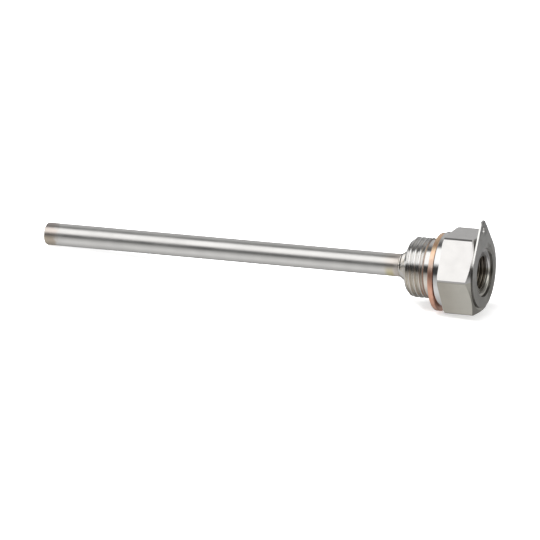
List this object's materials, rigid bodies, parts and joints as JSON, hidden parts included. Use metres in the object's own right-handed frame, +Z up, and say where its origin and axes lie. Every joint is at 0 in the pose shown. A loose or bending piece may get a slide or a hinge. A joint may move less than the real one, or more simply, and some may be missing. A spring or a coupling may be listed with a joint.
{
  "type": "thermowell",
  "caption": "Screw-in thermowell with a hexagon head, parallel process thread, welded closed tube, copper sealing ring and a seal tab plate.",
  "frame": {"origin": "centre of the sealing face, on the axis of the well, inside the sensor socket", "axes": "+X along the axis out of the sensor socket, the closed tip at -X, +Z up through the seal tab, a flat of the hexagon facing -Z"},
  "size_m": [0.1643, 0.0312, 0.0334],
  "materials": {
    "head_steel": "turned",
    "tube_steel": "ground",
    "weld_steel": "weld, heat tinted",
    "ring_copper": "soft copper, satin",
    "plate_steel": "rolled sheet"
  },
  "bodies": {
    "root": {"head_body": "head_steel", "protection_tube": "tube_steel", "tip_plug": "weld_steel", "neck_weld": "weld_steel", "sealing_ring": "ring_copper", "seal_tab_plate": "plate_steel"}
  },
  "joints": []
}
